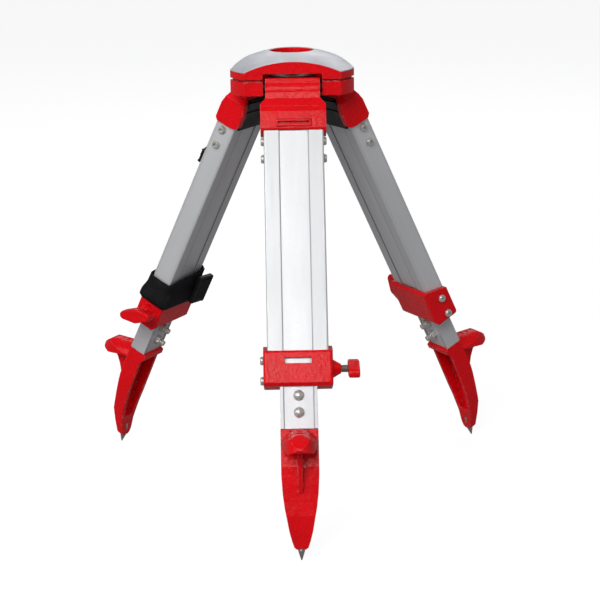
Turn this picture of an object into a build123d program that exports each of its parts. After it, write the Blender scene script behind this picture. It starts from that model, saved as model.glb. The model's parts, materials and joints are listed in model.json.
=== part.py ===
from build123d import *
import os
from math import acos, cos, degrees, radians, sin, sqrt

# Short dome-head surveyor tripod, legs retracted, standing on its points.
# Millimetres. Origin on the ground under the tripod's axis, +Z up, front leg towards -Y.
#
# Each leg is drawn in its own frame: x outward from the leg's outer face, y sideways
# (anticlockwise round the tripod), z up along the leg, with zero on the hinge pin.
# Distances down the leg from the pin are written as plain positive numbers.

# ---- driving dimensions: stance -------------------------------------------------------
leg_spread = 26.35            # leg from vertical, degrees
hinge_radius = 42.0           # hinge pins from the tripod's axis
tip_distance = 468.5          # hinge pin to ground point, along the leg
tip_offset = 17.5             # ground point inside the leg's middle plane
leg_azimuths = {"front": -90, "right": 30, "left": 150}
hinge_height = tip_distance * cos(radians(leg_spread)) + tip_offset * sin(radians(leg_spread))

# ---- head -----------------------------------------------------------------------------
head_radius = 66.2
flat_distance = 44.7          # flats that face the legs, from the axis
skirt_bottom = hinge_height - 5.0
groove_bottom = hinge_height + 9.1
groove_height = 2.2
groove_depth = 2.3
notch_half_width = 30.0
notch_top = hinge_height + 17.0
dome_edge = hinge_height + 19.0
dome_radius = 125.0
dome_thickness = 8.5
opening_radius = 22.0
cavity_radius = 36.0
dome_centre = dome_edge - sqrt(dome_radius**2 - head_radius**2)
pin_radius = 4.0
pin_half_length = 41.0
pin_outward = -3.15           # pin from the barrel's centre, in the leg's frame
pin_up = 4.24

# ---- fixing screw (5/8 in, 11 threads per inch) -----------------------------------------
screw_radius = 7.94
arm_bottom = hinge_height + 2.5
arm_thickness = 4.0
arm_half_width = 12.0
post_radius = 5.0
post_distance = 31.0
slot_travel = 8.0
dish_radius = 25.0
dish_thickness = 3.0
screw_lift = 14.0

# ---- leg profile and lower tube -----------------------------------------------------------
profile_half_width = 30.0
profile_half_depth = 11.75
profile_top = 20.0
profile_end = 282.0
channel_half_width = 18.5
channel_half_depth = 9.5
tube_half_width = 18.2
tube_half_depth = 9.2
tube_wall = 1.6
tube_top = 84.0
tube_end = 344.0
top_bolt_distances = (54.0, 72.0)

# ---- clamp collar ---------------------------------------------------------------------------
collar_half_width = 34.0
collar_outer = 14.0
collar_inner = -16.5
collar_top = 259.5
collar_end = 303.5
clamp_distance = 284.6
clamp_screw_radius = 4.0
knob_start = 49.0
knob_thickness = 11.0
knob_angles = {"front": 27, "right": 88, "left": 27}    # wing, from outward towards the foot
collar_bolt_distances = (276.0, 296.0)

# ---- foot --------------------------------------------------------------------------------------
foot_bolt_distances = (311.5, 328.1)
foot_half_width = 18.4


def box(x0, x1, y0, y1, z0, z1):
    """Box between two corners."""
    centre = Pos((x0 + x1) / 2, (y0 + y1) / 2, (z0 + z1) / 2)
    return centre * Box(x1 - x0, y1 - y0, z1 - z0)


def leg_box(x0, x1, y0, y1, near, far):
    """Box in a leg's frame, from one distance down the leg to another."""
    return box(x0, x1, y0, y1, -far, -near)


def side_plate(points, half_width):
    """Outline of (x, distance) points, extruded sideways about the leg's middle."""
    outline = Polyline(*[(x, -distance) for x, distance in points], close=True)
    return extrude(Plane.XZ * make_face(outline), half_width, both=True)


def front_plate(points, depth=60):
    """Half outline of (y, distance) points, mirrored, extruded through the leg."""
    half = [(y, -distance) for y, distance in points]
    outline = Polyline(*half, *[(-y, z) for y, z in reversed(half)], close=True)
    return extrude(Plane.YZ * make_face(outline), depth, both=True)


def rod_x(radius, x0, x1, y, distance):
    """Round bar through the leg's depth."""
    return Pos((x0 + x1) / 2, y, -distance) * Rot(0, 90, 0) * Cylinder(radius, x1 - x0)


def rod_y(radius, y0, y1, x, distance):
    """Round bar across the leg."""
    return Pos(x, (y0 + y1) / 2, -distance) * Rot(90, 0, 0) * Cylinder(radius, y1 - y0)


def column(radius, z0, z1, x=0.0, y=0.0):
    """Upright round bar."""
    return Pos(x, y, (z0 + z1) / 2) * Cylinder(radius, z1 - z0)


def place_on_leg(shape, azimuth):
    """Leg frame to tripod frame."""
    hinge = Rot(0, 0, azimuth) * Pos(hinge_radius, 0, hinge_height)
    return hinge * Rot(0, -leg_spread, 0) * shape


def save(name, shape):
    """One file per named piece."""
    solids = shape.solids()
    piece = Compound(children=list(solids)) if len(solids) > 1 else solids[0]
    export_step(piece, f"parts/{name}.step")


# ---- head pieces -----------------------------------------------------------------------------


def head_plan(inset, z0, z1):
    """Round plan with three flats, over a range of height."""
    plan = column(head_radius - inset, z0, z1)
    for azimuth in leg_azimuths.values():
        beyond = box(flat_distance - inset, 90, -90, 90, z0 - 1, z1 + 1)
        plan -= Rot(0, 0, azimuth) * beyond
    return plan


def head_casting():
    dome = Pos(0, 0, dome_centre) * Sphere(dome_radius)
    body = head_plan(0, skirt_bottom, dome_centre + dome_radius) & dome
    groove_top = groove_bottom + groove_height
    outer_ring = head_plan(-1, groove_bottom, groove_top)
    body -= outer_ring - head_plan(groove_depth, groove_bottom - 1, groove_top + 1)
    ceiling = Pos(0, 0, dome_centre) * Sphere(dome_radius - dome_thickness)
    body -= column(cavity_radius, skirt_bottom - 1, dome_centre + dome_radius) & ceiling
    body -= column(opening_radius, skirt_bottom, dome_centre + dome_radius + 1)
    rim_height = dome_centre + sqrt(dome_radius**2 - opening_radius**2)
    rim_cut = Cone(opening_radius, opening_radius + 2.4, 2.4)
    body -= Pos(0, 0, rim_height) * rim_cut
    for azimuth in leg_azimuths.values():
        notch = box(12, 90, -notch_half_width, notch_half_width, skirt_bottom - 1, notch_top)
        body -= Rot(0, 0, azimuth) * notch
        bore = rod_y(pin_radius, -pin_half_length - 0.3, pin_half_length + 0.3, pin_outward, -pin_up)
        body -= place_on_leg(bore, azimuth)
    post_top = dome_centre + dome_radius - dome_thickness - 3
    post_bottom = arm_bottom + arm_thickness + 0.3
    body -= column(8.5, skirt_bottom - 1, post_bottom + 1.5, 0, post_distance)
    body += column(post_radius, post_bottom, post_top, 0, post_distance)
    body -= column(2.5, arm_bottom, arm_bottom + 18, 0, post_distance)
    return body


def arm_pivot_bolt():
    """Shoulder screw that hangs the swing arm from its post."""
    shank = column(2.5, arm_bottom - 0.5, arm_bottom + 18, 0, post_distance)
    shoulder = column(3.95, arm_bottom - 0.5, arm_bottom + arm_thickness + 0.3, 0, post_distance)
    head = Pos(0, post_distance, arm_bottom - 2.7) * extrude(RegularPolygon(6.2, 6), 2.2)
    return shank + shoulder + head


def screw_arm():
    """Bar that swings about its post and carries the screw in a slot."""
    top = arm_bottom + arm_thickness
    bar = box(-arm_half_width, arm_half_width, -14, post_distance - 6, arm_bottom, top)
    bar += column(arm_half_width, arm_bottom, top, 0, -14)
    bar += column(7.5, arm_bottom, top, 0, post_distance)
    bar += box(-7.5, 7.5, post_distance - 8, post_distance, arm_bottom, top)
    slot = box(-8.7, 8.7, -slot_travel, 0, arm_bottom - 1, top + 1)
    slot += column(8.7, arm_bottom - 1, top + 1, 0, -slot_travel)
    slot += column(8.7, arm_bottom - 1, top + 1)
    bar -= slot
    return bar - column(4.0, arm_bottom - 1, top + 1, 0, post_distance)


def guide_bush():
    """Flanged ring that slides along the arm's slot."""
    top = arm_bottom + arm_thickness
    ring = column(8.6, arm_bottom - 0.4, top + 0.2) + column(11.0, top + 0.2, top + 1.6)
    return ring - column(screw_radius + 0.06, arm_bottom - 2, top + 4)


def clamp_dish():
    """Dished washer that meets the dome from below when the screw is raised."""
    top_sphere = dome_radius - dome_thickness - 0.3
    seat_drop = screw_lift + 1.0
    outer = Pos(0, 0, dome_centre - seat_drop) * Sphere(top_sphere)
    inner = Pos(0, 0, dome_centre - seat_drop) * Sphere(top_sphere - dish_thickness)
    dish = (column(dish_radius, arm_bottom, dome_centre + dome_radius) & outer) - inner
    rest = arm_bottom + arm_thickness + 1.7
    hub_top = dome_centre - seat_drop + top_sphere - 1.5
    dish += column(11.5, rest, hub_top)
    return dish - column(screw_radius + 0.06, arm_bottom, dome_centre + dome_radius)


def fixing_screw():
    """Threaded stud, bored for the plumb hook, with a turned shoulder under the dish."""
    low = arm_bottom - screw_lift - 18
    high = hinge_height + 29.0
    stud = column(screw_radius, low, high)
    dish_top = dome_centre - screw_lift - 1.0 + dome_radius - dome_thickness - 0.3
    stud += column(10.5, dish_top + 0.1, dish_top + 1.9)
    return stud - column(2.6, low - 1, low + 12)


def screw_knob():
    """Fluted hand knob at the foot of the fixing screw."""
    low = arm_bottom - screw_lift - 20
    high = arm_bottom - screw_lift - 1.2
    knob = column(17.0, low, high)
    for index in range(10):
        angle = radians(36 * index)
        knob -= column(2.6, low - 1, high + 1, 18.2 * cos(angle), 18.2 * sin(angle))
    return knob - column(screw_radius, low + 2, high + 1) - column(2.0, low - 1, low + 3)


def plumb_hook():
    """Eye for a plumb line, screwed up into the fixing screw."""
    low = arm_bottom - screw_lift - 20
    shank = column(2.6, low - 4, low + 14)
    eye = Pos(0, 0, low - 8.5) * Rot(90, 0, 0) * Torus(4.0, 1.3)
    return shank - column(5, low, low + 2) + column(2.0, low - 1, low + 3) + eye


# ---- leg pieces, each in the leg's own frame -----------------------------------------------


def hinge_casting():
    side = [(2.0, -11.2), (8.0, -11.0), (10.6, -9.0), (10.6, 2.0), (9.6, 11.0), (13.6, 25.5)]
    side += [(13.6, 43.0), (10.5, 46.5), (-6.0, 46.5), (-12.5, 45.0), (-15.0, 42.0)]
    side += [(-15.0, 28.0), (-12.5, 17.0), (-8.5, 9.0), (-11.4, 1.0), (-10.0, -5.5), (-5.0, -10.3)]
    front = [(27.5, -13.0), (27.5, 11.0), (33.0, 17.5), (33.0, 48.0)]
    body = side_plate(side, 33.0) & front_plate(front)
    body += rod_y(11.4, -27.5, 27.5, 0, 0)
    body -= leg_box(-11.85, 11.85, -30.1, 30.1, profile_top, 60)
    body -= leg_box(-20, -11.8, -25, 25, 15.0, 60)
    body -= leg_box(-20, 4.0, -25, 25, 12.5, profile_top)
    lip = leg_box(13.0, 15.0, -18.0, 18.0, 34.0, 41.6)
    body += fillet(lip.edges().filter_by(Axis.X) + lip.faces().sort_by(Axis.X)[-1].edges(), 0.9)
    body -= leg_box(12.4, 20, -15.6, 15.6, 36.4, 39.4)
    for side_sign in (-1, 1):
        prong = leg_box(-9.8, 9.8, 20.6, 28.0, 15.0, 80.0)
        body += prong if side_sign > 0 else mirror(prong, Plane.XZ)
        for distance in top_bolt_distances:
            body -= rod_y(2.5, *sorted((22 * side_sign, 40 * side_sign)), 2.0, distance)
    return body - rod_y(pin_radius + 0.05, -40, 40, pin_outward, -pin_up)


def hinge_pin():
    return rod_y(pin_radius, -pin_half_length, pin_half_length, pin_outward, -pin_up)


def hinge_washers():
    """Thrust washers that fill the gaps beside the hinge barrel."""
    washers = Part()
    for low in (-29.9, 27.6):
        ring = rod_y(6.4, low, low + 2.3, pin_outward, -pin_up)
        washers += ring - rod_y(pin_radius + 0.1, low - 1, low + 4, pin_outward, -pin_up)
    return washers


def profile():
    """Upper leg extrusion: a channel for the lower tube between two box rails."""
    length = profile_end - profile_top
    middle = -(profile_top + profile_end) / 2
    section = Rectangle(2 * profile_half_depth, 2 * profile_half_width)
    section -= Rectangle(2 * channel_half_depth, 2 * channel_half_width)
    for sign in (-1, 1):
        section -= Pos(0, sign * 24.3) * Rectangle(20.2, 8.4)
        section -= Pos(sign * (profile_half_depth - 0.2), 0) * Rectangle(1.5, 29.0)
    body = Pos(0, 0, middle - length / 2) * extrude(section, length)
    corners = body.edges().filter_by(Axis.Z).group_by(Axis.Y)
    outer = ShapeList(corners[0] + corners[-1])
    body = fillet(outer, 1.6)
    body -= leg_box(-20, 20, 18.0, 40, 270, 300)
    for distance in top_bolt_distances:
        body -= rod_y(2.5, 25, 40, 2.0, distance) + rod_y(2.5, -40, -25, 2.0, distance)
    return body - rod_y(2.5, -40, -25, 2.0, collar_bolt_distances[0])


def profile_liner():
    """Moulded plug behind the hinge casting that closes the top of the profile."""
    cap = leg_box(-11.8, 3.8, -20.4, 20.4, 12.8, profile_top)
    plate = leg_box(-13.4, -11.8, -24.8, 24.8, 15.2, 47.5)
    rib = leg_box(-14.4, -13.4, -23.0, 23.0, 26.0, 27.6)
    return cap + plate + rib


def side_screw(x, distance, sign, inner, face, radius):
    """Domed screw with a hexagon socket, driven in from a leg's side."""
    shank = rod_y(2.5, *sorted((inner * sign, face * sign)), x, distance)
    flange = rod_y(radius, *sorted((face * sign, (face + 1.2) * sign)), x, distance)
    dome = Pos(x, face * sign, -distance) * Sphere(radius + 0.3)
    keep = rod_y(radius + 1, *sorted(((face + 1.0) * sign, (face + 3.1) * sign)), x, distance)
    socket = Plane.XZ.offset(-(face + 1.6) * sign) * Pos(x, -distance) * RegularPolygon(1.9, 6)
    return shank + flange + (dome & keep) - extrude(socket, -4 * sign)


def top_bolts():
    screws = Part()
    for sign in (-1, 1):
        for distance in top_bolt_distances:
            screws += side_screw(2.0, distance, sign, 22, profile_half_width, 4.2)
    return screws


def collar():
    side = [(14.0, 270.0), (12.5, 267.8), (-13.0, 259.5), (-16.5, 262.0), (-16.5, 298.0)]
    side += [(-13.5, 302.5), (0.0, 303.5), (11.0, 302.5), (14.0, 299.5)]
    body = side_plate(side, collar_half_width)
    body = fillet(body.edges().filter_by(Axis.Z), 3.0)
    body &= front_plate([(34.0, 250.0), (34.0, 300.5), (33.1, 302.6), (31.0, 303.5), (31.0, 304.5)])
    boss = Rot(-90, 0, 0) * Cone(9.2, 4.6, 8.0)
    body += Pos(0, collar_half_width + 3.9, -clamp_distance) * boss
    body -= leg_box(-11.8, 11.8, -30.05, 30.05, 250, profile_end + 0.1)
    body -= leg_box(-channel_half_depth, channel_half_depth, -18.45, 18.45, 250, 320)
    body -= leg_box(-7.3, 7.3, 18, 31, 276.5, 292.7)
    body -= rod_y(clamp_screw_radius + 0.05, 24, 60, 0, clamp_distance)
    body -= leg_box(8, 20, -13, 13, 275.0, 280.6)
    for distance in collar_bolt_distances:
        body -= rod_y(2.5, -40, -22, 2.0, distance)
    return body


def collar_bolts():
    screws = side_screw(2.0, collar_bolt_distances[0], -1, 24.0, collar_half_width, 4.2)
    return screws + side_screw(2.0, collar_bolt_distances[1], -1, 22.0, collar_half_width, 4.2)


def clamp_pad():
    """Brake block that the clamp screw drives against the lower tube."""
    block = leg_box(-7.0, 7.0, tube_half_width + 0.05, 24.0, 277.0, 292.2)
    block = chamfer(block.edges().filter_by(Axis.X), 0.8)
    return block - rod_y(3.0, 22.5, 30, 0, clamp_distance)


def clamp_screw():
    shank = rod_y(clamp_screw_radius, 24.1, knob_start + 6, 0, clamp_distance)
    return shank + rod_y(2.9, 22.6, 24.1, 0, clamp_distance)


def clamp_knob(angle):
    """Winged knob; the angle turns its wings from outward towards the foot."""
    ends = [Pos(14.3 * sign, 0) * Circle(4.7) for sign in (-1, 1)]
    outline = make_hull((ends[0] + ends[1] + Circle(8.0)).edges())
    wing = Pos(0, knob_start + knob_thickness / 2, 0) * Rot(90, 0, 0)
    wing = wing * extrude(outline, knob_thickness / 2, both=True)
    wing = fillet(wing.edges().filter_by(GeomType.LINE), 1.6)
    knob = Pos(0, 0, -clamp_distance) * Rot(0, angle, 0) * wing
    return knob - rod_y(clamp_screw_radius, knob_start - 2, knob_start + 6, 0, clamp_distance)


def lower_tube():
    length = tube_end - tube_top
    section = Rectangle(2 * tube_half_depth, 2 * tube_half_width)
    section -= Rectangle(2 * (tube_half_depth - tube_wall), 2 * (tube_half_width - tube_wall))
    for sign in (-1, 1):
        section -= Pos(sign * tube_half_depth, 0) * Rectangle(0.8, 29.0)
    body = Pos(0, 0, -tube_end) * extrude(section, length)
    for distance in foot_bolt_distances:
        body -= rod_x(3.0, -20, 20, 0, distance)
    return body


def slide_guide():
    """Plastic shoe on the top of the lower tube that centres it in the channel."""
    shoe = leg_box(-9.35, 9.35, -18.3, 18.3, tube_top - 5, tube_top)
    plug_depth = tube_half_depth - tube_wall
    plug_width = tube_half_width - tube_wall
    shoe += leg_box(-plug_depth, plug_depth, -plug_width, plug_width, tube_top, tube_top + 16)
    return shoe - leg_box(-5, 5, -13, 13, tube_top - 9, tube_top + 17)


def foot():
    """Channel-section casting, open inward, with a tread plate and its web."""
    side = [(9.4, 344.5), (8.8, 381.0), (6.6, 396.0), (3.4, 415.0), (1.6, 428.0), (-4.2, 441.0)]
    side += [(-8.8, 451.0), (-11.2, 457.0), (-12.4, 458.5), (-19.0, 458.5), (-18.0, 452.0)]
    side += [(-14.0, 440.0), (-11.0, 420.0), (-9.4, 390.0), (-8.6, 356.0), (-12.6, 350.5)]
    side += [(-12.6, 345.5), (-9.4, 344.0)]
    front = [(foot_half_width, 340.0), (foot_half_width, 388.0), (17.3, 406.0), (15.6, 419.5)]
    front += [(13.4, 431.0), (11.5, 441.5), (9.2, 450.0), (7.0, 456.5), (4.6, 458.5), (4.6, 460.0)]
    body = side_plate(side, foot_half_width) & front_plate(front)
    trough_side = [(4.0, 356.0), (3.0, 382.0), (-1.0, 408.0), (-8.0, 434.0), (-30.0, 436.0)]
    trough_side += [(-30.0, 354.0)]
    trough_front = [(14.6, 352.0), (14.6, 388.0), (12.2, 416.0), (7.6, 436.0), (3.0, 441.0)]
    body -= side_plate(trough_side, 20) & front_plate(trough_front)
    body += tread_plate()
    web = [(8.0, 356.0), (36.0, 371.0), (27.8, 374.6), (21.3, 381.6), (14.6, 391.5), (7.0, 405.5)]
    web += [(0.0, 406.0)]
    body += side_plate(web, 2.3)
    plug_depth = tube_half_depth - tube_wall
    plug_width = tube_half_width - tube_wall
    body += leg_box(-plug_depth, plug_depth, -plug_width, plug_width, 304, 348)
    for distance in foot_bolt_distances:
        body -= rod_x(3.0, -20, 20, 0, distance)
    return body - foot_point()


def tread_plate():
    """Step with cross ridges, crowned across its width and rounded in plan."""
    top = [(8.0, 344.5), (12.0, 345.4), (14.5, 345.0), (17.0, 347.6), (19.5, 346.8), (22.5, 350.0)]
    top += [(25.0, 349.0), (28.5, 352.2), (33.0, 351.6), (37.5, 354.6), (42.5, 359.5)]
    end = [(47.6, 367.5), (48.0, 370.0), (45.0, 371.8), (36.0, 371.6), (24.0, 365.0), (6.0, 357.0)]
    plate = side_plate(top + end, 17.6)
    plan = Rectangle(18, 36) + Pos(9, 0) * Ellipse(39.2, 17.6)
    plate &= Pos(0, 0, -420) * extrude(plan, 120)
    slope = 20.3
    crown_radius = 18.6
    centre = Pos(12 - crown_radius * sin(radians(slope)), 0, -344.6 - crown_radius * cos(radians(slope)))
    return plate & (centre * Rot(0, 90 + slope, 0) * Cylinder(crown_radius, 140))


def foot_point():
    """Steel point with a shank let into the foot, in line with the foot's end."""
    shank = column(3.4, -1.2, 14)
    tip = Pos(0, 0, -5.7) * Rot(180, 0, 0) * Cone(3.4, 0.5, 9.0)
    return Pos(-15.6, 0, -458.5) * Rot(0, 11.0, 0) * (shank + tip)


def foot_bolts():
    """Two through bolts, heads outward, hexagon nuts inward."""
    group = Part()
    for distance in foot_bolt_distances:
        face = tube_half_depth - 0.4
        shank = rod_x(3.0, -19.0, face + 0.5, 0, distance)
        flange = rod_x(5.1, face, face + 1.2, 0, distance)
        dome = Pos(face - 1.6, 0, -distance) * Rot(0, 90, 0) * Sphere(5.8)
        dome &= rod_x(7.0, face + 1.0, face + 8.0, 0, distance)
        nut = Plane.YZ.offset(-face - 4.6) * Pos(0, -distance) * RegularPolygon(5.4, 6)
        group += shank + flange + dome + extrude(nut, 4.6)
    return group


# ---- straps on the left leg, as plain solids of their outer shape ----------------------------


def wrap_strap():
    """Band round the collar's top."""
    band = leg_box(-20.5, 18.3, -37.6, 37.6, 244.0, 271.5)
    band = fillet(band.edges().filter_by(Axis.Z), 5.0)
    return band - leg_box(-16.6, 14.1, -34.1, 34.1, 240, 280)


def strap_buckle():
    return leg_box(-27.5, -20.6, -33.5, -13.0, 236.0, 273.0)


def carry_strap():
    """Webbing down the leg's outer face, from the hinge casting to the band."""
    run = leg_box(11.9, 13.5, -12.5, 12.5, 48.0, 243.8)
    return run


def strap_slider():
    return leg_box(13.6, 19.0, -18.0, 18.0, 92.0, 107.0)


# ---- build ------------------------------------------------------------------------------------

head_pieces = {
    "head_casting": head_casting,
    "arm_pivot_bolt": arm_pivot_bolt,
    "screw_arm": screw_arm,
    "guide_bush": guide_bush,
    "clamp_dish": clamp_dish,
    "fixing_screw": fixing_screw,
    "screw_knob": screw_knob,
    "plumb_hook": plumb_hook,
}

leg_pieces = {
    "hinge_casting": hinge_casting,
    "hinge_pin": hinge_pin,
    "hinge_washers": hinge_washers,
    "profile": profile,
    "profile_liner": profile_liner,
    "top_bolts": top_bolts,
    "collar": collar,
    "collar_bolts": collar_bolts,
    "clamp_pad": clamp_pad,
    "clamp_screw": clamp_screw,
    "lower_tube": lower_tube,
    "slide_guide": slide_guide,
    "foot": foot,
    "foot_bolts": foot_bolts,
    "foot_point": foot_point,
}

strap_pieces = {
    "wrap_strap": wrap_strap,
    "strap_buckle": strap_buckle,
    "carry_strap": carry_strap,
    "strap_slider": strap_slider,
}

os.makedirs("parts", exist_ok=True)

for name, make in head_pieces.items():
    save(name, make())

shared = {name: make() for name, make in leg_pieces.items()}
for leg, azimuth in leg_azimuths.items():
    for name, shape in shared.items():
        save(f"{leg}_{name}", place_on_leg(shape, azimuth))
    save(f"{leg}_clamp_knob", place_on_leg(clamp_knob(knob_angles[leg]), azimuth))

for name, make in strap_pieces.items():
    save(name, place_on_leg(make(), leg_azimuths["left"]))
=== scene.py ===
import json
import math

import bmesh
import bpy
from mathutils import Matrix, Vector


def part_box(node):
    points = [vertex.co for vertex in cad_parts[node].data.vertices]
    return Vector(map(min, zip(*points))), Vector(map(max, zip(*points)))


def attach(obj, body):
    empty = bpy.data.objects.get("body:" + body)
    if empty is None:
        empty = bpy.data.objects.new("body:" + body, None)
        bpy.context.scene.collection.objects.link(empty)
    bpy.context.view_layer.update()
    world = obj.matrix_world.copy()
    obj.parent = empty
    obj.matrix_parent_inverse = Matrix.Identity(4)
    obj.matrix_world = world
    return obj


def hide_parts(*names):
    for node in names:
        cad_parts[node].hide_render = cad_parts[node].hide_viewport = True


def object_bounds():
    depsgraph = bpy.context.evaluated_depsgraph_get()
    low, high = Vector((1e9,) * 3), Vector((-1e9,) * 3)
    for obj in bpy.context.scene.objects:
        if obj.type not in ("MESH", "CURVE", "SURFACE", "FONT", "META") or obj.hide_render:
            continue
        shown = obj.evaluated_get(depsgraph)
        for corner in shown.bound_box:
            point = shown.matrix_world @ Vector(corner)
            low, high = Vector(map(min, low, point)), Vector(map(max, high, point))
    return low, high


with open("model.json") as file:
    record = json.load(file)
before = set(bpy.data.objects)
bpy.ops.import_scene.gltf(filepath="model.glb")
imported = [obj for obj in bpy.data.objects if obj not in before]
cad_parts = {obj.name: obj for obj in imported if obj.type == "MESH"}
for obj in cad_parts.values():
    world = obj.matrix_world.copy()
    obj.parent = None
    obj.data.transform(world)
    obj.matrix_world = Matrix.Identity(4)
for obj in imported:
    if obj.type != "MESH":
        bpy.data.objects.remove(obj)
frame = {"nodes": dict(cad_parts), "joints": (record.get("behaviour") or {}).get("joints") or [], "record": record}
cad_low, cad_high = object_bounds()
nodes = frame["nodes"]
joints = {joint["name"]: joint for joint in frame["joints"]}
legs = ("front", "right", "left")
clamp_distance = 0.2846  # clamp screw's distance down the leg from the hinge's height


# ---- frames -------------------------------------------------------------------------------


def leg_matrix(leg):
    """Leg frame to row frame: x outward, y sideways, z up the leg, zero level with the hinge."""
    up = -Vector(joints[f"{leg}_leg_slide"]["axis"]).normalized()
    top = Vector(joints[f"{leg}_clamp_turn"]["pos_m"]) + up * clamp_distance
    across = Vector(joints[f"{leg}_pad_slide"]["axis"]).normalized()
    out = across.cross(up)
    turn = Matrix((out, across, up)).transposed().to_4x4()
    return Matrix.Translation(top) @ turn


leg_frames = {leg: leg_matrix(leg) for leg in legs}
head_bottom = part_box("head_casting")[0].z
head_radius = 0.0662
dome_radius = 0.125
dome_rim_height = 0.024  # dome's edge above the casting's bottom
dome_drop = math.sqrt(dome_radius**2 - head_radius**2)
dome_centre = Vector((0, 0, head_bottom + dome_rim_height - dome_drop))


# ---- shader helpers --------------------------------------------------------------------------


class Tree:
    """One material's node tree, with short calls for the nodes used here."""

    def __init__(self, name, base, roughness, metallic=0.0, **sockets):
        self.material = bpy.data.materials.new(name)
        self.material.use_nodes = True
        self.nodes = self.material.node_tree.nodes
        self.links = self.material.node_tree.links
        self.shader = self.nodes["Principled BSDF"]
        self.set(self.shader, "Base Color", (*base, 1))
        self.set(self.shader, "Roughness", roughness)
        self.set(self.shader, "Metallic", metallic)
        for socket, value in sockets.items():
            self.set(self.shader, socket.replace("_", " "), value)

    def set(self, node, socket, value):
        if isinstance(value, bpy.types.NodeSocket):
            self.links.new(value, node.inputs[socket])
        else:
            node.inputs[socket].default_value = value

    def add(self, kind, output=0, settings=None, **sockets):
        node = self.nodes.new(kind)
        for key, value in (settings or {}).items():
            setattr(node, key, value)
        for socket, value in sockets.items():
            key = int(socket[1:]) if socket[0] == "_" else socket.replace("_", " ")
            self.set(node, key, value)
        return node.outputs[output]

    def math(self, operation, a, b=0.0, clamp=False):
        return self.add("ShaderNodeMath", 0, {"operation": operation, "use_clamp": clamp}, _0=a, _1=b)

    def place(self, matrix=None, scale=(1, 1, 1)):
        """Rest position in metres, in the given frame, stretched by scale."""
        position = self.add("ShaderNodeTexCoord", "Object")
        if matrix is not None:
            inverse = matrix.inverted()
            settings = {"vector_type": "POINT"}
            position = self.add(
                "ShaderNodeMapping", 0, settings,
                Vector=position, Location=inverse.translation, Rotation=inverse.to_euler(),
            )
        return self.add("ShaderNodeVectorMath", 0, {"operation": "MULTIPLY"}, _0=position, _1=scale)

    def noise(self, position, scale, detail=3.0, roughness=0.5):
        settings = {"noise_dimensions": "3D"}
        return self.add(
            "ShaderNodeTexNoise", "Fac", settings,
            Vector=position, Scale=scale, Detail=detail, Roughness=roughness,
        )

    def span(self, value, low, high, to_low=0.0, to_high=1.0):
        return self.add(
            "ShaderNodeMapRange", "Result", {"clamp": True},
            _0=value, _1=low, _2=high, _3=to_low, _4=to_high,
        )

    def mix(self, factor, a, b):
        settings = {"data_type": "RGBA"}
        a = a if isinstance(a, bpy.types.NodeSocket) else (*a, 1)
        b = b if isinstance(b, bpy.types.NodeSocket) else (*b, 1)
        return self.add("ShaderNodeMix", 2, settings, _0=factor, _6=a, _7=b)

    def soft_edges(self, radius):
        """Normal that rounds every edge by this radius."""
        return self.add("ShaderNodeBevel", 0, {"samples": 6}, Radius=radius)

    def edges(self, radius):
        """One on sharp edges, fading to zero on flat ground."""
        rounded = self.soft_edges(radius)
        flat = self.add("ShaderNodeNewGeometry", "Normal")
        settings = {"operation": "DOT_PRODUCT"}
        same = self.add("ShaderNodeVectorMath", "Value", settings, _0=rounded, _1=flat)
        return self.span(same, 0.985, 0.80)

    def crevices(self, distance):
        """One in the open, lower in corners."""
        return self.add("ShaderNodeAmbientOcclusion", "AO", {"samples": 4}, Distance=distance)

    def bump(self, height, distance, strength=1.0, normal=None):
        sockets = {"Height": height, "Distance": distance, "Strength": strength}
        if normal is not None:
            sockets["Normal"] = normal
        return self.add("ShaderNodeBump", 0, None, **sockets)

    def finish(self, colour=None, roughness=None, metallic=None, normal=None):
        values = {"Base Color": colour, "Roughness": roughness, "Metallic": metallic, "Normal": normal}
        for socket, value in values.items():
            if value is not None:
                self.set(self.shader, socket, value)
        return self.material


# ---- materials -------------------------------------------------------------------------------

red = (0.94, 0.003, 0.009)
red_painted_shade = (0.42, 0.002, 0.006)


def cast_red(tree, position):
    """Colour, roughness and normal of gloss red paint on a slightly rough casting, with painted shade in its
    corners and edges lightened partly by wear, partly as a painted highlight.
    """
    edge = tree.edges(0.0011)
    # edge mask times noise: edges turned pink, partly worn paint, partly a painted highlight along the edges
    chip_and_edge_highlight = tree.math("MULTIPLY", edge, tree.span(tree.noise(position, 260, 4), 0.47, 0.60))
    shade = tree.mix(tree.span(tree.noise(position, 38, 2), 0.3, 0.7), red, (0.84, 0.003, 0.008))
    # painted shade: red darkened in corners and hollows where less light reaches
    corner = tree.span(tree.crevices(0.008), 0.25, 0.85)
    shade = tree.mix(corner, red_painted_shade, shade)
    shade = tree.mix(tree.math("MULTIPLY", chip_and_edge_highlight, 0.55), shade, (0.80, 0.42, 0.42))
    rough = tree.span(tree.noise(position, 160, 3), 0.35, 0.65, 0.17, 0.34)
    peel = tree.bump(tree.noise(position, 300, 3, 0.6), 0.0006, 0.7, tree.soft_edges(0.0011))
    return shade, rough, tree.bump(tree.noise(position, 95, 2), 0.0012, 0.30, peel)


def red_paint(leg):
    """Painted casting, in the leg's own frame."""
    gloss = {"Specular_IOR_Level": 0.18, "Coat_Weight": 0.05, "Coat_Roughness": 0.12}
    tree = Tree(f"red_paint_{leg}", red, 0.25, **gloss)
    shade, rough, normal = cast_red(tree, tree.place(leg_frames[leg]))
    return tree.finish(shade, rough, None, normal)


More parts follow.
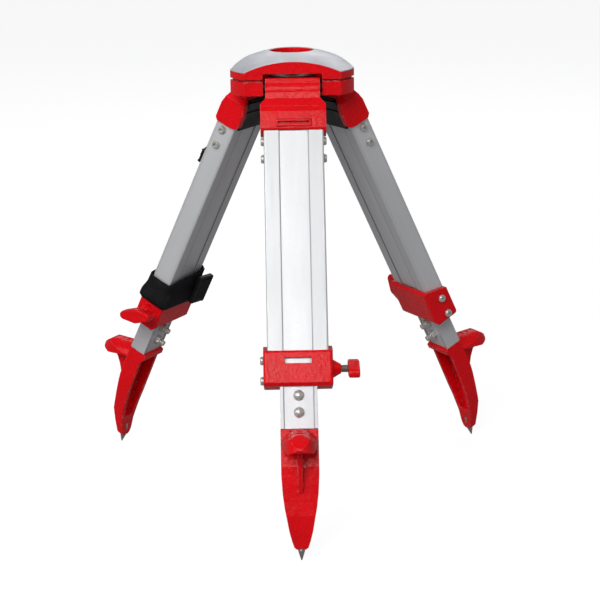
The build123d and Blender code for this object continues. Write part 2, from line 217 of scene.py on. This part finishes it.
def head_paint():
    """Red casting with a bare turned dome."""
    gloss = {"Specular_IOR_Level": 0.20, "Coat_Weight": 0.05, "Coat_Roughness": 0.15}
    tree = Tree("head_paint", red, 0.25, **gloss)
    position = tree.place()
    shade, rough, normal = cast_red(tree, position)
    subtract = {"operation": "DISTANCE"}
    reach = tree.add("ShaderNodeVectorMath", "Value", subtract, _0=position, _1=dome_centre)
    bare = tree.span(reach, dome_radius - 0.0008, dome_radius - 0.0004)
    parts = tree.add("ShaderNodeSeparateXYZ", 0, None, Vector=position)
    across = parts.node.outputs
    square = tree.math("ADD", tree.math("MULTIPLY", across[0], across[0]),
                       tree.math("MULTIPLY", across[1], across[1]))
    radius = tree.math("SQRT", square)
    ring = tree.math("SINE", tree.math("MULTIPLY", radius, 2 * math.pi / 0.0007))
    uneven = tree.noise(position, 55, 3)
    silver = tree.mix(tree.span(uneven, 0.3, 0.7), (0.66, 0.67, 0.71), (0.76, 0.77, 0.81))
    worn = tree.span(tree.noise(tree.place(None, (1, 1, 4)), 30, 4), 0.3, 0.7, 0.46, 0.58)
    turned = tree.bump(ring, 0.00003, 0.35, tree.soft_edges(0.0006))
    shade = tree.mix(bare, shade, silver)
    rough_mix = tree.add("ShaderNodeMix", 0, {"data_type": "FLOAT"}, _0=bare, _2=rough, _3=worn)
    normal_mix = tree.add("ShaderNodeMix", 1, {"data_type": "VECTOR"}, _0=bare, _4=normal, _5=turned)
    return tree.finish(shade, rough_mix, tree.math("MULTIPLY", bare, 0.6), normal_mix)


def aluminium(leg, tint=(0.78, 0.79, 0.80)):
    """Satin extrusion with fine drawing lines along the leg and a sunk middle band; painted shade in its corners,
    on the outside bands and along the band's step.
    """
    band_edge = 0.0146
    tree = Tree(f"aluminium_{leg}_{tint[0]:.2f}", tint, 0.4, 0.35)
    lines = tree.noise(tree.place(leg_frames[leg], (1, 1, 0.012)), 1500, 3, 0.6)
    broad = tree.noise(tree.place(leg_frames[leg], (1, 1, 0.15)), 45, 3)
    specks = tree.noise(tree.place(leg_frames[leg]), 700, 2)
    shade = tree.mix(tree.span(broad, 0.3, 0.7), tint, tuple(0.90 * c for c in tint))
    shade = tree.mix(tree.span(specks, 0.66, 0.74, 0, 0.35), shade, (0.45, 0.45, 0.46))
    # painted shade: metal darkened towards dark grey in corners and hollows
    shade = tree.mix(tree.span(tree.crevices(0.004), 0.2, 0.7, 0.7, 0), shade, (0.14, 0.13, 0.13))
    parts = tree.add("ShaderNodeSeparateXYZ", 0, None, Vector=tree.place(leg_frames[leg])).node.outputs
    on_face = tree.span(tree.math("ABSOLUTE", parts[0]), 0.0085, 0.0087)
    across = tree.math("ABSOLUTE", parts[1])
    # painted shade: the outside bands made a little darker than the sunk middle band
    outside = tree.math("MULTIPLY", on_face, tree.span(across, band_edge - 0.0004, band_edge + 0.0004))
    shade = tree.mix(tree.math("MULTIPLY", outside, 0.55), shade, tuple(0.80 * c for c in tint))
    # painted shade: a dark line along the step of the sunk middle band
    from_step = tree.math("ABSOLUTE", tree.math("SUBTRACT", across, band_edge))
    step = tree.span(from_step, 0.0002, 0.0009, 0.75, 0)
    shade = tree.mix(tree.math("MULTIPLY", on_face, step), shade, (0.17, 0.17, 0.18))
    rough = tree.span(lines, 0.3, 0.7, 0.36, 0.50)
    normal = tree.bump(lines, 0.00006, 0.5, tree.soft_edges(0.0005))
    return tree.finish(shade, rough, None, normal)


def plated_steel(name, base, rough, stain_and_shade):
    """Clouded plating, its corners tinted: brown stain on the zinc, painted shade on the dark steels."""
    tree = Tree(name, base, 0.3, 0.7)
    position = tree.place()
    cloud = tree.noise(position, 420, 4)
    shade = tree.mix(tree.span(cloud, 0.35, 0.7), base, tuple(0.82 * c for c in base))
    # corner tint from the occlusion mask: brown stain on zinc_steel, near-black painted shade on dark_steel and
    # the dish
    shade = tree.mix(tree.span(tree.crevices(0.002), 0.3, 0.8, 0.8, 0), shade, stain_and_shade)
    normal = tree.bump(tree.noise(position, 1400, 2), 0.00004, 0.6, tree.soft_edges(0.0004))
    return tree.finish(shade, tree.span(cloud, 0.3, 0.7, *rough), None, normal)


def point_steel():
    """Turned steel, browned towards the tip."""
    tree = Tree("point_steel", (0.5, 0.48, 0.44), 0.35, 1.0)
    position = tree.place()
    height = tree.add("ShaderNodeSeparateXYZ", 2, None, Vector=position)
    soil = tree.math("ADD", tree.span(height, 0.0, 0.009, 0.75, 0.0),
                     tree.span(tree.noise(position, 500, 4), 0.3, 0.7, -0.25, 0.25), True)
    shade = tree.mix(soil, (0.58, 0.56, 0.52), (0.30, 0.22, 0.15))
    rings = tree.math("SINE", tree.math("MULTIPLY", height, 2 * math.pi / 0.0005))
    normal = tree.bump(rings, 0.00003, 0.5, tree.soft_edges(0.0003))
    return tree.finish(shade, tree.span(soil, 0, 1, 0.25, 0.6), None, normal)


def brass():
    """Handled brass with dull clouds."""
    tree = Tree("brass", (0.78, 0.60, 0.28), 0.28, 1.0)
    position = tree.place()
    cloud = tree.noise(position, 160, 4)
    shade = tree.mix(tree.span(cloud, 0.35, 0.7), (0.80, 0.62, 0.30), (0.52, 0.38, 0.17))
    normal = tree.bump(tree.noise(position, 900, 2), 0.00004, 0.5, tree.soft_edges(0.0003))
    return tree.finish(shade, tree.span(cloud, 0.3, 0.7, 0.20, 0.40), None, normal)


def black_plastic():
    """Grained black moulding, rubbed grey along its edges."""
    tree = Tree("black_plastic", (0.010, 0.010, 0.011), 0.45, Specular_IOR_Level=0.3)
    position = tree.place()
    grain = tree.noise(position, 1700, 2, 0.6)
    rub = tree.math("MULTIPLY", tree.edges(0.0007), tree.span(tree.noise(position, 200, 3), 0.4, 0.65))
    shade = tree.mix(tree.math("MULTIPLY", rub, 0.5), (0.009, 0.009, 0.010), (0.07, 0.07, 0.07))
    rough = tree.span(tree.noise(position, 60, 3), 0.3, 0.7, 0.36, 0.56)
    normal = tree.bump(grain, 0.00006, 0.8, tree.soft_edges(0.0006))
    return tree.finish(shade, rough, None, normal)


def webbing():
    """Woven black nylon: UV in metres, u across the strap and v along it."""
    tree = Tree("webbing", (0.014, 0.014, 0.015), 0.75, Specular_IOR_Level=0.15)
    uv = tree.add("ShaderNodeTexCoord", "UV")
    split = tree.add("ShaderNodeSeparateXYZ", 0, None, Vector=uv).node.outputs
    ribs = tree.math("SINE", tree.math("MULTIPLY", split[0], 2 * math.pi / 0.0021))
    slant = tree.math("ADD", tree.math("MULTIPLY", tree.math("ABSOLUTE", ribs), 0.9),
                      tree.math("MULTIPLY", split[1], 2 * math.pi / 0.0011))
    threads = tree.math("SINE", slant)
    weave = tree.math("ADD", tree.math("MULTIPLY", ribs, 0.6), tree.math("MULTIPLY", threads, 0.4))
    fuzz = tree.noise(uv, 2600, 3)
    height = tree.math("ADD", weave, tree.math("MULTIPLY", fuzz, 0.5))
    shade = tree.mix(tree.span(height, -0.8, 1.2), (0.003, 0.003, 0.004), (0.014, 0.014, 0.016))
    shade = tree.mix(tree.span(tree.noise(uv, 90, 3), 0.5, 0.75, 0, 0.5), shade, (0.034, 0.033, 0.031))
    normal = tree.bump(height, 0.00022, 0.9)
    return tree.finish(shade, tree.span(fuzz, 0.3, 0.7, 0.62, 0.85), None, normal)


# ---- mesh helpers -----------------------------------------------------------------------------


def make_piece(name, points, faces, material, body, uv=None, smooth=True):
    """A mesh piece in the row frame that rides on a body. uv holds one list per face."""
    mesh = bpy.data.meshes.new(name)
    mesh.from_pydata([tuple(p) for p in points], [], faces)
    if uv is not None:
        layer = mesh.uv_layers.new(name="UVMap")
        for polygon, corners in zip(mesh.polygons, uv):
            for loop, corner in zip(polygon.loop_indices, corners):
                layer.data[loop].uv = corner
    work = bmesh.new()
    work.from_mesh(mesh)
    bmesh.ops.recalc_face_normals(work, faces=work.faces)
    work.to_mesh(mesh)
    work.free()
    for polygon in mesh.polygons:
        polygon.use_smooth = smooth
    mesh.materials.append(material)
    piece = bpy.data.objects.new(name, mesh)
    bpy.context.scene.collection.objects.link(piece)
    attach(piece, body)
    return piece


def threaded_rod(name, matrix, pitch, sections, material, body):
    """Rod along the matrix's z axis. sections are (start, end, radius, threaded)."""
    steps_a_turn = 6
    around = 24
    rings = []
    for start, end, size, threaded in sections:
        steps = max(1, round((end - start) * steps_a_turn / pitch)) if threaded else 1
        rings += [(start + (end - start) * i / steps, size, threaded) for i in range(steps + 1)]
    points = []
    depth = 0.61 * pitch
    for z, size, threaded in rings:
        for k in range(around):
            angle = 2 * math.pi * k / around
            phase = (z / pitch - k / around) % 1.0
            cut = depth * min(1.0, abs(2 * phase - 1) * 1.25) if threaded else 0.0
            reach = size - cut
            points.append(matrix @ Vector((reach * math.cos(angle), reach * math.sin(angle), z)))
    faces = []
    for r in range(len(rings) - 1):
        for k in range(around):
            a, b = r * around + k, r * around + (k + 1) % around
            faces.append((a, b, b + around, a + around))
    faces.append(tuple(range(around)))
    faces.append(tuple(range(len(points) - around, len(points))))
    return make_piece(name, points, faces, material, body, smooth=False)


def smooth_step(value):
    value = min(1.0, max(0.0, value))
    return value * value * (3 - 2 * value)


def strap_solid(name, centre_line, outward, width, thickness, material, body, matrix):
    """Flat strap, its width along the matrix's y axis: points and outward directions of its run."""
    columns = 8
    rim = []
    for i in range(columns + 1):
        side = i / columns - 0.5
        rim.append((side, 0.5 - 0.32 * abs(2 * side) ** 6))
    rim += [(side, -lift) for side, lift in reversed(rim)]
    count = len(rim)
    points, run = [], [0.0]
    for i, centre in enumerate(centre_line):
        if i:
            run.append(run[-1] + (centre - centre_line[i - 1]).length)
        for side, lift in rim:
            spot = centre + Vector((0, side * width, 0)) + outward[i] * lift * thickness
            points.append(matrix @ spot)
    faces, uv = [], []
    for row in range(len(centre_line) - 1):
        near, far = row * count, (row + 1) * count
        start, end = run[row], run[row + 1]
        for k in range(count):
            after = (k + 1) % count
            faces.append((near + k, near + after, far + after, far + k))
            u, w = rim[k][0] * width, rim[after][0] * width
            uv.append([(u, start), (w, start), (w, end), (u, end)])
    for row in (0, len(centre_line) - 1):
        faces.append(tuple(row * count + k for k in range(count)))
        uv.append([(rim[k][0] * width, run[row]) for k in range(count)])
    return make_piece(name, points, faces, material, body, uv)


def rounded_rectangle(low_x, high_x, half_y, corner):
    """(point, outward direction) anticlockwise round a rectangle, the same count for any size."""
    corners = [
        (high_x - corner, half_y - corner, 0, 7), (low_x + corner, half_y - corner, 90, 14),
        (low_x + corner, corner - half_y, 180, 7), (high_x - corner, corner - half_y, 270, 14),
    ]
    trail = []
    for i, (x, y, start, pieces) in enumerate(corners):
        for k in range(8):
            angle = math.radians(start + 90 * k / 7)
            way = Vector((math.cos(angle), math.sin(angle), 0))
            trail.append((Vector((x, y, 0)) + way * corner, way))
        next_x, next_y, next_start, _ = corners[(i + 1) % 4]
        after = Vector((next_x, next_y, 0)) + way * corner
        for k in range(1, pieces):
            trail.append((trail[-k][0].lerp(after, k / pieces), way))
    return trail


def rounded_block(matrix, size, bevel):
    """Points and faces of a box with rounded edges, in the given frame."""
    work = bmesh.new()
    bmesh.ops.create_cube(work, size=1.0)
    for vertex in work.verts:
        vertex.co = Vector((vertex.co.x * size[0], vertex.co.y * size[1], vertex.co.z * size[2]))
    bmesh.ops.bevel(work, geom=work.edges[:], offset=bevel, segments=3, profile=0.5, affect="EDGES")
    work.verts.index_update()
    points = [matrix @ vertex.co for vertex in work.verts]
    faces = [[vertex.index for vertex in face.verts] for face in work.faces]
    work.free()
    return points, faces


def moulding(name, matrix, blocks, material, body):
    """One piece from rounded blocks: (centre, size, bevel)."""
    points, faces = [], []
    for centre, size, bevel in blocks:
        place = matrix @ Matrix.Translation(centre)
        more_points, more_faces = rounded_block(place, size, bevel)
        faces += [[index + len(points) for index in face] for face in more_faces]
        points += more_points
    piece = make_piece(name, points, faces, material, body, smooth=False)
    return piece


# ---- materials on the CAD pieces ----------------------------------------------------------------

zinc_steel = plated_steel("zinc_steel", (0.80, 0.80, 0.75), (0.28, 0.46), (0.34, 0.29, 0.20))
dark_steel = plated_steel("dark_steel", (0.16, 0.16, 0.17), (0.30, 0.50), (0.03, 0.03, 0.03))
# painted shade: dark plating standing for the shadow under the head, where the dish and arm sit
dish_painted_shade = plated_steel("dish_painted_shade", (0.16, 0.15, 0.14), (0.35, 0.55), (0.05, 0.04, 0.04))
thread_steel = plated_steel("thread_steel", (0.42, 0.40, 0.36), (0.30, 0.48), (0.10, 0.09, 0.07))
plastic = black_plastic()
cloth = webbing()
by_slot = {
    "head_paint": head_paint(),
    "zinc_steel": zinc_steel,
    "dark_steel": dark_steel,
    "point_steel": point_steel(),
    "brass": brass(),
    "black_plastic": plastic,
    "webbing": cloth,
}
by_leg = {leg: {"red_paint": red_paint(leg), "aluminium": aluminium(leg)} for leg in legs}
for leg in legs:
    by_leg[leg]["inner_aluminium"] = aluminium(leg, (0.72, 0.72, 0.74))

slots = {part["node"]: part["material_slot"] for part in frame["record"]["subparts"]}
for name, piece in nodes.items():
    slot = slots[name]
    leg = name.split("_")[0]
    if name.endswith("lower_tube"):
        slot = "inner_aluminium"
    material = by_leg[leg][slot] if leg in legs and slot in by_leg[leg] else by_slot.get(slot)
    # the dish and arm under the head get the dark painted-shade steel
    if name in ("clamp_dish", "screw_arm"):
        material = dish_painted_shade
    piece.data.materials.clear()
    piece.data.materials.append(material)


# ---- threads ---------------------------------------------------------------------------------

sideways = Matrix.Rotation(math.radians(-90), 4, "X")
thread_pitch = 0.00125
for leg in legs:
    centre = leg_frames[leg].inverted() @ Vector(joints[f"{leg}_clamp_turn"]["pos_m"])
    axis = leg_frames[leg] @ Matrix.Translation(centre) @ sideways
    sections = [(0.0226, 0.0241, 0.0029, False), (0.0241, 0.0246, 0.0036, False),
                (0.0246, 0.0550, 0.0040, True)]
    rod = threaded_rod(f"{leg}_clamp_thread", axis, thread_pitch, sections, thread_steel, f"{leg}_clamp")
    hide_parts(f"{leg}_clamp_screw")


# ---- straps on the left leg ----------------------------------------------------------------------

left = leg_frames["left"]
strap_body = "left_upper_leg"
outer_share = 0.143  # share of the way round a turn at the middle of the leg's outer face
buckle_share = 0.893  # the same where the buckle sits
turn_length = 0.19
wrap_width = 0.026
collar_top = 0.252
strap_thickness = 0.0015


def wrap_layer(name, offset, top, bottom, start, length, thickness=0.0010):
    """A turn of webbing that hugs the leg above and the collar below.

    top and bottom give the distance down the leg from the share of the way round.
    """
    upper = rounded_rectangle(-0.0121, 0.0121, 0.0303, 0.0025)
    lower = rounded_rectangle(-0.0168, 0.0143, 0.0343, 0.0035)
    steps_a_turn = 96
    rows = 9
    points, faces, uv = [], [], []

    def sample(trail, share):
        place = (share % 1.0) * len(trail)
        i = int(place)
        a, b = trail[i % len(trail)], trail[(i + 1) % len(trail)]
        return a[0].lerp(b[0], place - i), a[1].lerp(b[1], place - i).normalized()

    steps = round(steps_a_turn * length)
    for i in range(steps + 1):
        share = start + length * i / steps
        a, way_a = sample(upper, share)
        b, way_b = sample(lower, share)
        high, low = top(share % 1.0), bottom(share % 1.0)
        lift = offset + 0.0003 * math.sin(9 * share) + 0.0004 * i / steps
        lift += 0.0016 * smooth_step(1 - abs((share % 1.0) - buckle_share) / 0.09)
        for side in (1, -1):
            for k in range(rows + 1):
                w = k / rows
                drop = high + (low - high) * w
                hug = smooth_step((drop - collar_top) / 0.014)
                way = way_a.lerp(way_b, hug).normalized()
                rim = 1.0 - 0.35 * abs(2 * w - 1) ** 8
                reach = lift + 0.0008 + side * thickness / 2 * rim
                spot = a.lerp(b, hug) + way * reach
                points.append(left @ Vector((spot.x, spot.y, -drop)))
    stride = 2 * (rows + 1)

    def corner(i, side, k):
        return i * stride + (0 if side > 0 else rows + 1) + k

    run = turn_length * length
    for i in range(steps):
        v, w = run * i / steps, run * (i + 1) / steps
        for side in (1, -1):
            for k in range(rows):
                faces.append((corner(i, side, k), corner(i + 1, side, k),
                              corner(i + 1, side, k + 1), corner(i, side, k + 1)))
                a, b = wrap_width * k / rows, wrap_width * (k + 1) / rows
                uv.append([(a, v), (a, w), (b, w), (b, v)])
        for k in (0, rows):
            faces.append((corner(i, 1, k), corner(i, -1, k),
                          corner(i + 1, -1, k), corner(i + 1, 1, k)))
            uv.append([(0, v), (0.001, v), (0.001, w), (0, w)])
    for i in (0, steps):
        for k in range(rows):
            faces.append((corner(i, 1, k), corner(i, 1, k + 1),
                          corner(i, -1, k + 1), corner(i, -1, k)))
            uv.append([(0, 0), (0.003, 0), (0.003, 0.001), (0, 0.001)])
    piece = make_piece(name, points, faces, cloth, strap_body, uv)
    return piece


def far_side(share):
    """One at the middle of the leg's outer face, zero behind the leg."""
    return 0.5 - 0.5 * math.cos(2 * math.pi * (share - outer_share))


inner_wrap = wrap_layer("wrap_inner", 0.0000, lambda s: 0.2475, lambda s: 0.2725, 0.0, 1.0)
middle_wrap = wrap_layer("wrap_middle", 0.0011, lambda s: 0.2445 - 0.010 * far_side(s),
                         lambda s: 0.2705 + 0.002 * far_side(s), 0.55, 1.1)
outer_wrap = wrap_layer("wrap_outer", 0.0022, lambda s: 0.2455 - 0.013 * far_side(s),
                        lambda s: 0.2700 + 0.0015 * far_side(s), 0.60, 0.92)
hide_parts("wrap_strap")



def placed(base, spot, turn):
    """Frame moved to a spot and turned about its z axis, in degrees."""
    return base @ Matrix.Translation(spot) @ Matrix.Rotation(math.radians(turn), 4, "Z")


buckle_frame = placed(left, (-0.0238, -0.0228, -0.2550), -5)
frame_bars = [  # centre, size and bevel in the buckle's frame
    ((0, 0.0088, 0), (0.0052, 0.0040, 0.0350), 0.0013),
    ((-0.0004, -0.0088, 0), (0.0060, 0.0044, 0.0350), 0.0016),
    ((0, 0, 0.0158), (0.0052, 0.0215, 0.0036), 0.0013),
    ((0, 0, -0.0158), (0.0052, 0.0215, 0.0036), 0.0013),
    ((0.0012, 0, 0), (0.0024, 0.0190, 0.0320), 0.0008),
]
buckle = moulding("buckle_frame", buckle_frame, frame_bars, plastic, strap_body)
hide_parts("strap_buckle")
lever_place = placed(buckle_frame, (-0.0024, -0.0008, 0), -7)
lever_bars = [((0, 0, 0), (0.0030, 0.0150, 0.0274), 0.0012)]
for k in range(5):
    lever_bars.append(((-0.0015, -0.0050 + 0.0025 * k, 0), (0.0012, 0.0011, 0.0240), 0.0004))
moulding("buckle_lever", lever_place, lever_bars, plastic, strap_body)


def strap_path(stations):
    """Even run of points through (outward, distance down the leg) stations, with their normals."""
    knots = [Vector((x, 0, -down)) for x, down in stations]
    line = []
    for i in range(len(knots) - 1):
        a, b = knots[i], knots[i + 1]
        before, after = knots[max(i - 1, 0)], knots[min(i + 2, len(knots) - 1)]
        pieces = max(2, round((b - a).length / 0.003))
        for k in range(pieces):
            t = k / pieces
            line.append(0.5 * (2 * a + (b - before) * t + (2 * before - 5 * a + 4 * b - after) * t * t
                               + (3 * a - before - 3 * b + after) * t**3))
    line.append(knots[-1])
    normals = []
    for i in range(len(line)):
        way = (line[min(i + 1, len(line) - 1)] - line[max(i - 1, 0)]).normalized()
        normals.append(Vector((-way.z, 0, way.x)))
    return line, normals


run = [(0.0131, 0.0352), (0.0142, 0.0385), (0.0150, 0.0425), (0.0141, 0.0470), (0.0127, 0.0520),
       (0.0126, 0.0700), (0.0129, 0.0870), (0.0152, 0.0930), (0.0190, 0.0990), (0.0152, 0.1050),
       (0.0129, 0.1120), (0.0127, 0.1500), (0.0128, 0.2000), (0.0127, 0.2300), (0.0129, 0.2500)]
line, normals = strap_path(run)
carry = strap_solid("carry_webbing", line, normals, 0.0250, strap_thickness, cloth, strap_body, left)
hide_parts("carry_strap")

loose = [(0.0178, 0.0905), (0.0198, 0.0885), (0.0218, 0.0940), (0.0228, 0.0990), (0.0200, 0.1060),
         (0.0166, 0.1140), (0.0156, 0.1240), (0.0166, 0.1330)]
line, normals = strap_path(loose)
tail = strap_solid("carry_tail", line, normals, 0.0246, strap_thickness, cloth, strap_body, left)

slider_place = left @ Matrix.Translation((0.0188, 0.0, -0.0985))
slider_bars = [
    ((0, 0.0158, 0), (0.0030, 0.0044, 0.0150), 0.0011),
    ((0, -0.0158, 0), (0.0030, 0.0044, 0.0150), 0.0011),
    ((0.0012, 0, 0.0064), (0.0030, 0.0340, 0.0026), 0.0010),
    ((0.0012, 0, -0.0064), (0.0030, 0.0340, 0.0026), 0.0010),
    ((-0.0012, 0, 0), (0.0022, 0.0320, 0.0026), 0.0009),
]
slider = moulding("slider_frame", slider_place, slider_bars, plastic, strap_body)
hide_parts("strap_slider")


# ---- floor, light and camera ------------------------------------------------------------------


def stage_sheet(name, points, faces):
    """Pale sheet that shows the object's shadow and throws no light back on it."""
    mesh = bpy.data.meshes.new(name)
    mesh.from_pydata(points, [], faces)
    piece = bpy.data.objects.new(name, mesh)
    tree = Tree(name, (0.24, 0.24, 0.24), 0.9)
    tree.set(tree.shader, "Emission Color", (1, 1, 1, 1))
    tree.set(tree.shader, "Emission Strength", 0.88)
    tree.set(tree.shader, "Specular IOR Level", 0.0)
    mesh.materials.append(tree.material)
    piece.visible_diffuse = False
    piece.visible_glossy = False
    piece.visible_shadow = False
    bpy.context.scene.collection.objects.link(piece)


def backdrop():
    """Floor with a round wall far behind it."""
    reach, top, count = 12.0, 14.0, 48
    angles = [2 * math.pi * k / count for k in range(count)]
    low = [(reach * math.cos(a), reach * math.sin(a), cad_low.z) for a in angles]
    high = [(x, y, top) for x, y, _ in low]
    stage_sheet("floor", low, [list(range(count))])
    walls = [(k, (k + 1) % count, count + (k + 1) % count, count + k) for k in range(count)]
    stage_sheet("wall", low + high, walls)


def soft_light(name, place, aim, size, power, tint=(1, 1, 1)):
    lamp = bpy.data.lights.new(name, "AREA")
    lamp.shape = "RECTANGLE"
    lamp.size, lamp.size_y = size
    lamp.energy = power
    lamp.color = tint
    holder = bpy.data.objects.new(name, lamp)
    holder.location = place
    holder.rotation_euler = (Vector(aim) - Vector(place)).to_track_quat("-Z", "Y").to_euler()
    bpy.context.scene.collection.objects.link(holder)
    return holder


def studio():
    backdrop()
    middle = (0, 0, 0.22)
    soft_light("front_box", (-0.75, -2.3, 1.85), middle, (1.8, 1.3), 46)
    soft_light("left_box", (-2.4, -1.0, 1.5), middle, (1.2, 1.4), 11)
    soft_light("right_box", (2.4, -0.4, 1.0), middle, (1.0, 1.2), 2)
    soft_light("back_box", (0.3, 2.2, 2.0), middle, (2.2, 1.4), 16)
    world = bpy.data.worlds.new("studio")
    world.use_nodes = True
    world.node_tree.nodes["Background"].inputs["Color"].default_value = (0.96, 0.97, 1.0, 1)
    world.node_tree.nodes["Background"].inputs["Strength"].default_value = 0.22
    bpy.context.scene.world = world
    bpy.context.scene.view_settings.view_transform = "Standard"


def camera():
    """Long lens in front of the front leg, a little above the head."""
    azimuth = math.radians(0.51)
    roll = math.radians(-0.87)
    eye = Vector((-1.81215 * math.sin(azimuth), -1.81215 * math.cos(azimuth), 0.69293))
    aim = Vector((0.00478 * math.cos(azimuth), -0.00478 * math.sin(azimuth), 0.19676))
    forward = (aim - eye).normalized()
    right = forward.cross(Vector((0, 0, 1))).normalized()
    up = right.cross(forward)
    tilted_right = right * math.cos(roll) + up * math.sin(roll)
    tilted_up = up * math.cos(roll) - right * math.sin(roll)
    data = bpy.data.cameras.new("camera")
    data.lens = 105.7
    data.sensor_width = 36.0
    holder = bpy.data.objects.new("camera", data)
    turn = Matrix((tilted_right, tilted_up, -forward)).transposed().to_4x4()
    holder.matrix_world = Matrix.Translation(eye) @ turn
    bpy.context.scene.collection.objects.link(holder)
    bpy.context.scene.camera = holder


studio()
camera()
